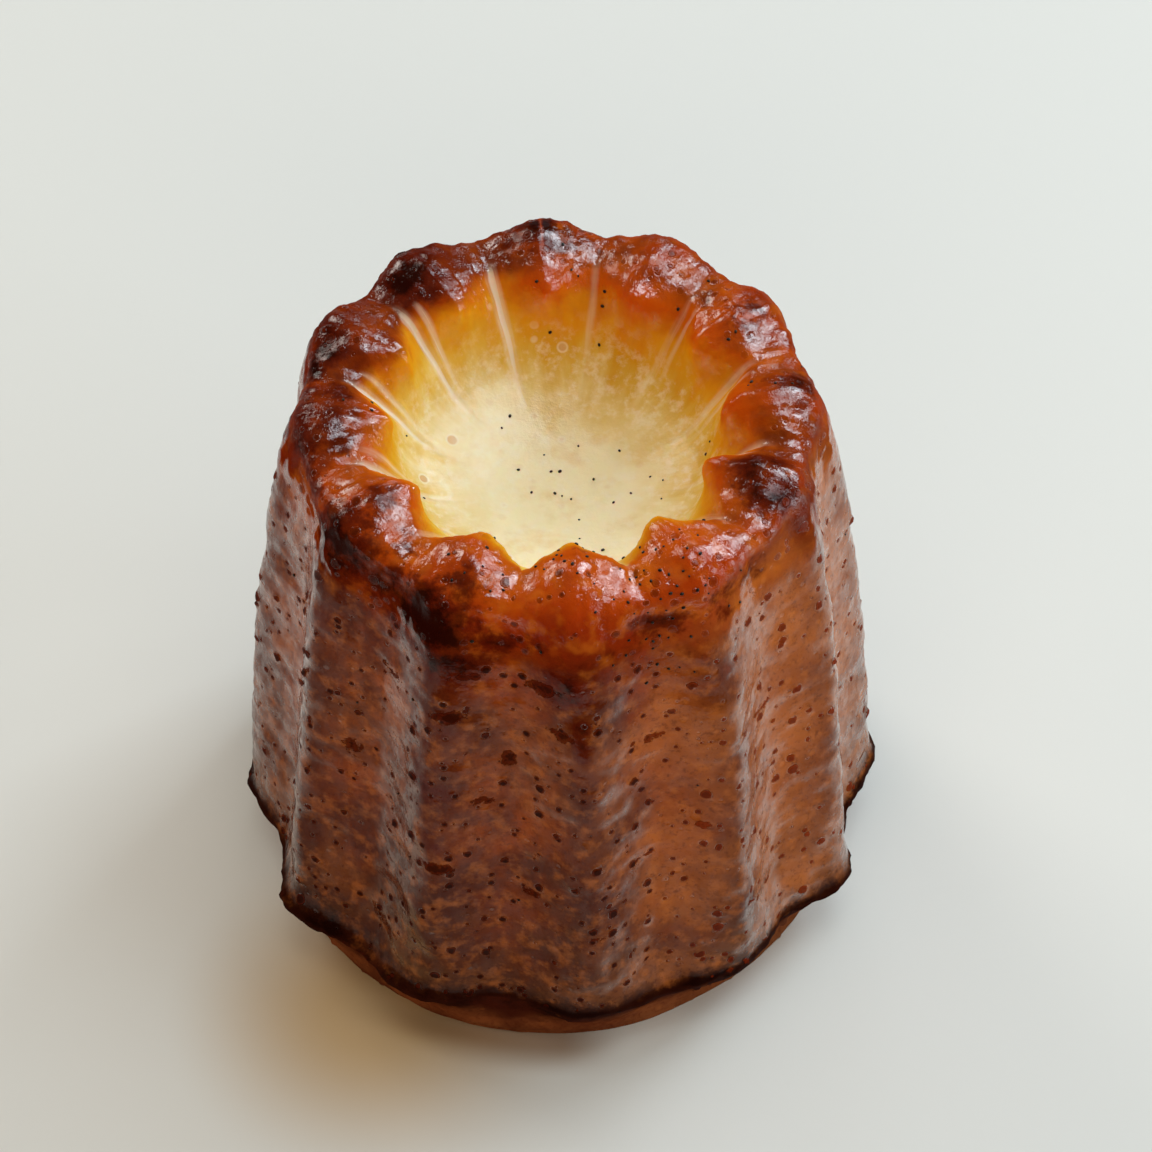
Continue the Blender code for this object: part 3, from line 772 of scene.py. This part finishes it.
# How far red, green and blue light soak into the custard, in millimetres, then the relief too fine for the
# mesh, the spacing, chance and reach of each kind of spot, and where and how strongly the glaze shows.
LIGHT_SOAKS = (2.0, 0.9, 0.4)
GRAIN_HEIGHT = 0.09
PIT_STEP = 0.05
BLISTER_STEP = 0.04
BLISTERS = (1.25, 0.45, 0.46)
PIMPLES = (0.85, 0.30, 0.50)
PIMPLE_STEP = 0.04
GRIT_HEIGHT = 0.035
FINE_PITS = (0.95, 0.55, 0.36)
BUBBLES = (2.3, 0.60, 0.26)
GLAZE_ROUGHNESS = 0.07
GLAZE_IOR = 1.85
GLAZE_FROM = (0.42, 0.65)
THIN_WET = 0.05
GLAZE_TO = (0.24, 1.0)
GLAZE_ENDS = (AT["shoulder"] + 0.05, AT["shoulder"] + 0.5)
LOBE_GLAZE_FROM = (0.32, 0.54)
LOBE_GLAZE_TO = (0.82, 0.12)
CUSTARD_GLAZE = 0.22
RIM_GLAZE = 0.7
BLOTCH = "#280d06"
AMBER_AND_LIGHT = "#c87234"
DARK_SUGAR_AND_SHADE = "#42180d"
FLECK = "#d8741c"
MAHOGANY = "#5a180a"
SINGED = "#501205"
BURNT = "#160503"
DRAWN_SKIN_AND_HIGHLIGHT = "#f6e8d0"
PIT = "#4e1405"
THIN_PIT = "#8a2c0c"
DENSE_CUSTARD = "#e0b85c"
MILKY_CUSTARD = "#fff3d8"
BUBBLE_GOLD = "#cf9030"
PIT_SHADE = "#200803"

# The crust's colour by station, in the grooves and on the ridges.
BAKED = (
    (AT["under"], "#7a4a2c", "#7a4a2c"),
    (AT["foot"], "#804626", "#7a4022"),
    (AT["lip underside"], "#2a0d06", "#220a04"),
    (AT["lip"], "#1a0703", "#160603"),
    (AT["lip"] + 0.42, "#28110a", "#1e0b05"),
    (AT["lip"] + 0.72, "#5a2e18", "#482411"),
    (AT["lip top"], "#6a3a1e", "#553018"),
    (AT["side low"], "#6c2c0e", "#4c200e"),
    (AT["side middle"], "#924216", "#662c12"),
    (AT["side high"], "#9c4c1e", "#642c14"),
    (AT["shoulder"], "#8a360c", "#5c200a"),
    (AT["brow"], "#8a2809", "#8a2809"),
    # The crest's tones are raised for a painted glow of light through the front lobes; the other lobes bake
    # darker to offset it.
    (AT["crest outside"], "#b8460d", "#ac3a0a"),
    (AT["crest"], "#c65c0e", "#be4a0a"),
    (AT["crest"] + 0.6, "#c65a0c", "#c24e0a"),
    (AT["cusp"], "#cc7016", "#cc6c0c"),
    (AT["cusp"] + 0.5, "#dc9418", "#da8c10"),
    (AT["dish wall"], "#dca430", "#da9c1e"),
    (AT["dish wall"] + 0.5, "#e2b952", "#dfb044"),
    (AT["dish edge"], "#ecd086", "#e8ca7a"),
    (AT["dish edge"] + 0.5, "#f6e2ac", "#f3e0a8"),
    (AT["dish floor"], "#feeec4", "#feeec4"),
)

section = guide("half_section", section_numbers())
lobes = guide("ring_of_lobes", ring_numbers())
cake_inputs = {
    "Section": ("NodeSocketObject", section),
    "Ring of lobes": ("NodeSocketObject", lobes),
    "Points round": ("NodeSocketInt", FLUTES * STEPS_PER_FLUTE),
    "Rings": ("NodeSocketInt", len(section.data.vertices)),
    "Millimetre": ("NodeSocketFloat", MM),
    "Crest height": ("NodeSocketFloat", CREST_HEIGHT),
    "Lean": ("NodeSocketVector", (*LEAN, 0.0)),
    "Knob height": ("NodeSocketFloat", 0.16),
    "Wrinkle height": ("NodeSocketFloat", 0.12),
    "Dent depth": ("NodeSocketFloat", 0.12),
    "Lip raggedness": ("NodeSocketFloat", 0.20),
    "Pore depth": ("NodeSocketFloat", 0.28),
    "Line wander": ("NodeSocketFloat", 0.8),
    "Crease height": ("NodeSocketFloat", 0.16),
    "Twin height": ("NodeSocketFloat", 0.12),
    "Bead height": ("NodeSocketFloat", 0.14),
}
for zone, span in ZONES.items():
    cake_inputs["Crust of " + zone] = ("NodeSocketMaterial", caramel_crust(zone, *span))
cake = made_by(cake_tree(cake_inputs), cake_inputs, "canele_cake")
mark(cake.data, "scorched", SCORCHES)
mark(cake.data, "torn", TEARS)
for helper in (section, lobes):
    bpy.data.objects.remove(helper)
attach(cake, "root")
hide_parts("canele")

# The vanilla seeds
# The vanilla pod's seeds, black, hard and about a third of a millimetre long. They were stirred into the
# dough and baked in, half sunk in its skin. They lie in clusters on the custard and on the front lobes.
SEED_LENGTH = 0.32
SEED_SINK = 0.03
SEED_SHAPE = (0.5, 0.38, 0.32)
SEED_SIZES = (0.6, 1.15)
SEEDS_APART = 0.6
SEED_BLACK = "#14100c"
SEED_BROWN = "#2e2418"

# Each cluster: where its middle is, its spread, and its seeds in a square millimetre there, all in
# millimetres seen from above.
CLUSTERS = (
    ((0.8, 0.0), 6.5, 0.28),
    ((0.5, 15.5), 4.5, 0.14),
    ((9.0, 12.0), 3.5, 0.10),
    ((-10.0, 12.0), 4.0, 0.06),
    ((0.5, -17.0), 2.6, 0.9),
    ((8.0, -16.5), 3.4, 1.4),
    ((4.0, -20.0), 2.2, 0.6),
    ((-7.0, -17.0), 3.0, 0.35),
    ((16.0, 3.0), 4.0, 0.15),
    ((-16.0, -2.0), 4.0, 0.08),
)
SEEDS_ABOVE = 43.0
SEEDS_ELSEWHERE = 0.004


def seed_density(mesh):
    """Gives every point of the cake how many seeds lie in a square millimetre there."""
    count = len(mesh.vertices)
    places = np.zeros(count * 3, np.float32)
    mesh.vertices.foreach_get("co", places)
    places = places.reshape(count, 3) / MM
    density = np.zeros(count, np.float32)
    for (x, y), spread, most in CLUSTERS:
        away = ((places[:, 0] - x) ** 2 + (places[:, 1] - y) ** 2) / spread**2
        density = np.maximum(density, most * np.exp(-away))
    density = np.where(places[:, 2] > SEEDS_ABOVE, density, SEEDS_ELSEWHERE)
    mesh.attributes.new("seeds", "FLOAT", "POINT").data.foreach_set("value", density)


def seed_tree(inputs):
    """Scatters small ellipsoids over the cake by its density, each turned and sized by chance."""
    tree, given = tree_with_inputs("vanilla_seeds", inputs)
    node = partial(add, tree)
    cake_shape = node("GeometryNodeObjectInfo", (given["Cake"],), output="Geometry")
    density = node("GeometryNodeInputNamedAttribute", ("seeds",), data_type="FLOAT")
    points = node(
        "GeometryNodeDistributePointsOnFaces",
        {
            "Mesh": cake_shape,
            "Distance Min": given["Apart"],
            "Density Max": 1 / MM**2,
            "Density Factor": density,
            "Seed": given["Scatter"],
        },
        output="Points",
        distribute_method="POISSON",
    )
    rotation = points.node.outputs["Rotation"]
    spin = node("FunctionNodeRandomValue", {"Min": 0.0, "Max": 2 * math.pi}, data_type="FLOAT")
    turn = node("ShaderNodeCombineXYZ", {"Z": spin})
    turned = node("FunctionNodeRotateRotation", (rotation, turn), rotation_space="LOCAL")
    size = node("FunctionNodeRandomValue", {"Min": SEED_SIZES[0], "Max": SEED_SIZES[1]}, data_type="FLOAT")
    ball = node("GeometryNodeMeshIcoSphere", (given["Length"], 2))
    ball = node("GeometryNodeTransform", {"Geometry": ball, "Scale": SEED_SHAPE})
    inputs = {"Points": points, "Instance": ball, "Rotation": turned, "Scale": size}
    seeds = node("GeometryNodeInstanceOnPoints", inputs)
    seeds = node("GeometryNodeTranslateInstances", (seeds, True, (0.0, 0.0, -SEED_SINK * MM), True))
    seeds = node("GeometryNodeRealizeInstances", (seeds,))
    seeds = node("GeometryNodeSetShadeSmooth", {"Geometry": seeds, "Shade Smooth": True})
    seeds = node("GeometryNodeSetMaterial", {"Geometry": seeds, "Material": given["Seed coat"]})
    node("NodeGroupOutput", (seeds,))
    return tree


def seed_coat():
    """The hard dry coat of a vanilla seed: black with a faint brown, and a small dull shine."""
    material, node = new_material("vanilla_seed_coat")
    place = node("ShaderNodeTexCoord", output="Object")
    speckle = node("ShaderNodeTexNoise", {"Vector": place, "Scale": 1 / (SEED_LENGTH * MM), "Detail": 1.0})
    stops = [(0.4, linear(SEED_BLACK)), (0.7, linear(SEED_BROWN))]
    colour = node("ShaderNodeValToRGB", (speckle,), stops=stops)
    inputs = {"Base Color": colour, "Roughness": 0.4, "Specular IOR Level": 0.3}
    shader = node("ShaderNodeBsdfPrincipled", inputs)
    node("ShaderNodeOutputMaterial", (shader,))
    return material


seed_density(cake.data)
seed_inputs = {
    "Cake": ("NodeSocketObject", cake),
    "Scatter": ("NodeSocketInt", 3),
    "Apart": ("NodeSocketFloat", SEEDS_APART * MM),
    "Length": ("NodeSocketFloat", SEED_LENGTH * MM),
    "Seed coat": ("NodeSocketMaterial", seed_coat()),
}
seeds = made_by(seed_tree(seed_inputs), seed_inputs, "vanilla_seeds")
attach(seeds, "root")

# The table
# A pale polished stone top, seen only as the plain ground that the cake stands on and that its gloss
# mirrors. On it lie a warm painted shade by the foot at the left, where the cake's shadow falls, and a
# darker painted contact shadow close round the foot at the front left.
TABLE_SIZE = 1.6
TABLE_COLOUR = "#e4e6e2"
WARM_SHADE_COLOUR = "#c09a58"
WARM_SHADE_AT = (-0.016, -0.023, 0.0)
WARM_SHADE_REACH = (0.019, 0.003)
WARM_SHADE_STRENGTH = 0.8
CONTACT_SHADE_COLOUR = "#8a6438"
CONTACT_SHADE_REACH = (0.0300, 0.0264)
CONTACT_SHADE_STRENGTH = 0.75
CONTACT_SHADE_LEFT = (0.0065, 0.0)
CONTACT_SHADE_FRONT = (-0.0215, -0.0258)


def pale_stone():
    """Honed pale stone: matt, with a weak soft shine, and painted shade round the cake's foot."""
    material, node = new_material("honed_pale_stone")
    soft = {"interpolation_type": "SMOOTHSTEP"}
    place = node("ShaderNodeTexCoord", output="Object")
    # A warm painted shade on the table, where the cake's shadow falls by the foot at the left.
    away = node("ShaderNodeVectorMath", (place, WARM_SHADE_AT), operation="DISTANCE")
    warm_shade = node("ShaderNodeMapRange", (away, *WARM_SHADE_REACH, 0.0, WARM_SHADE_STRENGTH), **soft)
    colour = node("ShaderNodeMix", (warm_shade, linear(TABLE_COLOUR), linear(WARM_SHADE_COLOUR)), data_type="RGBA")
    # A painted contact shadow: a dark ring close round the foot, only at the front left.
    ring = node("ShaderNodeVectorMath", (place,), output="Value", operation="LENGTH")
    ring = node("ShaderNodeMapRange", (ring, *CONTACT_SHADE_REACH, 0.0, CONTACT_SHADE_STRENGTH), **soft)
    for axis, reach in (("X", CONTACT_SHADE_LEFT), ("Y", CONTACT_SHADE_FRONT)):
        along = node("ShaderNodeSeparateXYZ", (place,), output=axis)
        within = node("ShaderNodeMapRange", (along, *reach, 0.0, 1.0), **soft)
        ring = node("ShaderNodeMath", (ring, within), operation="MULTIPLY")
    colour = node("ShaderNodeMix", (ring, colour, linear(CONTACT_SHADE_COLOUR)), data_type="RGBA")
    inputs = {"Base Color": colour, "Roughness": 0.5, "Specular IOR Level": 0.3}
    shader = node("ShaderNodeBsdfPrincipled", inputs)
    node("ShaderNodeOutputMaterial", (shader,))
    return material


half = TABLE_SIZE / 2
table_mesh = bpy.data.meshes.new("table")
table_corners = [(-half, -half, 0), (half, -half, 0), (half, half, 0), (-half, half, 0)]
table_mesh.from_pydata(table_corners, [], [(0, 1, 2, 3)])
table_mesh.materials.append(pale_stone())
placed("table", table_mesh)

# The light
# Cool daylight from windows behind the cake, widest at the right, and the warm dim rest of the room. Some
# windows only light the cake, and one only shows in its gloss.
COOL = (0.79, 0.91, 1.0)
NEUTRAL = (1.0, 0.94, 0.86)
WARM = (1.0, 0.82, 0.62)
WINDOWS = (
    ("window_back_right", (47, 34), (0.35, 0.35), 9.3, COOL),
    ("window_back", (3, 17), (0.24, 0.17), 4.8, COOL),
    ("window_high", (50, 64), (0.60, 0.34), 2.0, COOL),
    ("window_left", (-42, 30), (0.36, 0.44), 4.6, NEUTRAL),
    ("window_right", (106, 20), (0.60, 0.40), 3.3, COOL),
    ("room_left", (-96, 14), (0.90, 0.40), 1.1, WARM),
    ("room_front", (180, 25), (1.00, 0.60), 1.6, WARM),
    ("ceiling", (0, 89), (0.80, 0.80), 1.1, NEUTRAL),
    ("skylight_panes", (52, 65), (0.56, 0.40), 6.5, COOL),
)
UNMIRRORED = ("window_high", "room_left", "room_front", "ceiling")
ONLY_MIRRORED = ("skylight_panes",)
WINDOW_DISTANCE = 0.9
ROOM_COLOUR = (0.05, 0.04, 0.03)


def window(name, bearings, size, radiance, colour):
    """A rectangle of even light that faces the cake, at this bearing from +Y and this height, in degrees."""
    azimuth, elevation = (math.radians(angle) for angle in bearings)
    data = bpy.data.lights.new(name, "AREA")
    data.shape = "RECTANGLE"
    data.size, data.size_y = size
    data.energy = radiance * math.pi * size[0] * size[1]
    data.color = colour
    obj = bpy.data.objects.new(name, data)
    level = math.cos(elevation)
    towards = Vector((math.sin(azimuth) * level, math.cos(azimuth) * level, math.sin(elevation)))
    obj.location = towards * WINDOW_DISTANCE
    obj.rotation_euler = towards.to_track_quat("Z", "Y").to_euler()
    obj.visible_glossy = name not in UNMIRRORED
    obj.visible_diffuse = name not in ONLY_MIRRORED
    bpy.context.scene.collection.objects.link(obj)


for row in WINDOWS:
    window(*row)

world = bpy.data.worlds.new("room")
world.use_nodes = True
world.node_tree.nodes["Background"].inputs["Color"].default_value = (*ROOM_COLOUR, 1.0)
bpy.context.scene.world = world
bpy.context.scene.view_settings.view_transform = "Standard"

# The flag
# A black card stands in front of the cake, as a studio uses to keep a gloss dark. Only reflections see it,
# and it casts no shadow.
FLAG_DISTANCE = 0.079
FLAG_SIZE = (0.5, 0.2)
CARD_BLACK = "#0a0a0a"


def black_card():
    """Matt black card, which the eye sees only as the dark in the caramel's gloss."""
    material = bpy.data.materials.new("matt_black_card")
    material.use_nodes = True
    shader = material.node_tree.nodes["Principled BSDF"]
    shader.inputs["Base Color"].default_value = linear(CARD_BLACK)
    shader.inputs["Roughness"].default_value = 1.0
    shader.inputs["Specular IOR Level"].default_value = 0.0
    return material


wide, high = FLAG_SIZE
flag_mesh = bpy.data.meshes.new("flag")
across = ((-wide / 2, 0), (wide / 2, 0), (wide / 2, high), (-wide / 2, high))
flag_mesh.from_pydata([(x, -FLAG_DISTANCE, z) for x, z in across], [], [(0, 1, 2, 3)])
flag_mesh.materials.append(black_card())
flag = bpy.data.objects.new("flag", flag_mesh)
flag.visible_camera = False
flag.visible_diffuse = False
flag.visible_shadow = False
bpy.context.scene.collection.objects.link(flag)

# The camera
# It looks down on the cake from in front, from as far as a short telephoto lens needs. The distance is in
# millimetres, and its angles are in degrees.
CAMERA_DISTANCE = 431.17
CAMERA_ELEVATION = 53.35
CAMERA_PITCH = 50.69
CAMERA_YAW = 0.24
CAMERA_ROLL = 0.85
LENS = 150
SENSOR = 36


def set_camera():
    elevation, pitch, yaw, roll = (
        math.radians(angle) for angle in (CAMERA_ELEVATION, CAMERA_PITCH, CAMERA_YAW, CAMERA_ROLL)
    )
    data = bpy.data.cameras.new("camera")
    data.lens = LENS
    data.sensor_width = SENSOR
    obj = bpy.data.objects.new("camera", data)
    forward = Vector((math.sin(yaw) * math.cos(pitch), math.cos(yaw) * math.cos(pitch), -math.sin(pitch)))
    right = forward.cross(Vector((0, 0, 1))).normalized()
    up = right.cross(forward)
    right, up = right * math.cos(roll) + up * math.sin(roll), up * math.cos(roll) - right * math.sin(roll)
    turn = Matrix((right, up, -forward)).transposed().to_4x4()
    distance = CAMERA_DISTANCE * MM
    stand = Matrix.Translation((0, -distance * math.cos(elevation), distance * math.sin(elevation)))
    obj.matrix_world = stand @ turn
    bpy.context.scene.collection.objects.link(obj)
    bpy.context.scene.camera = obj


set_camera()
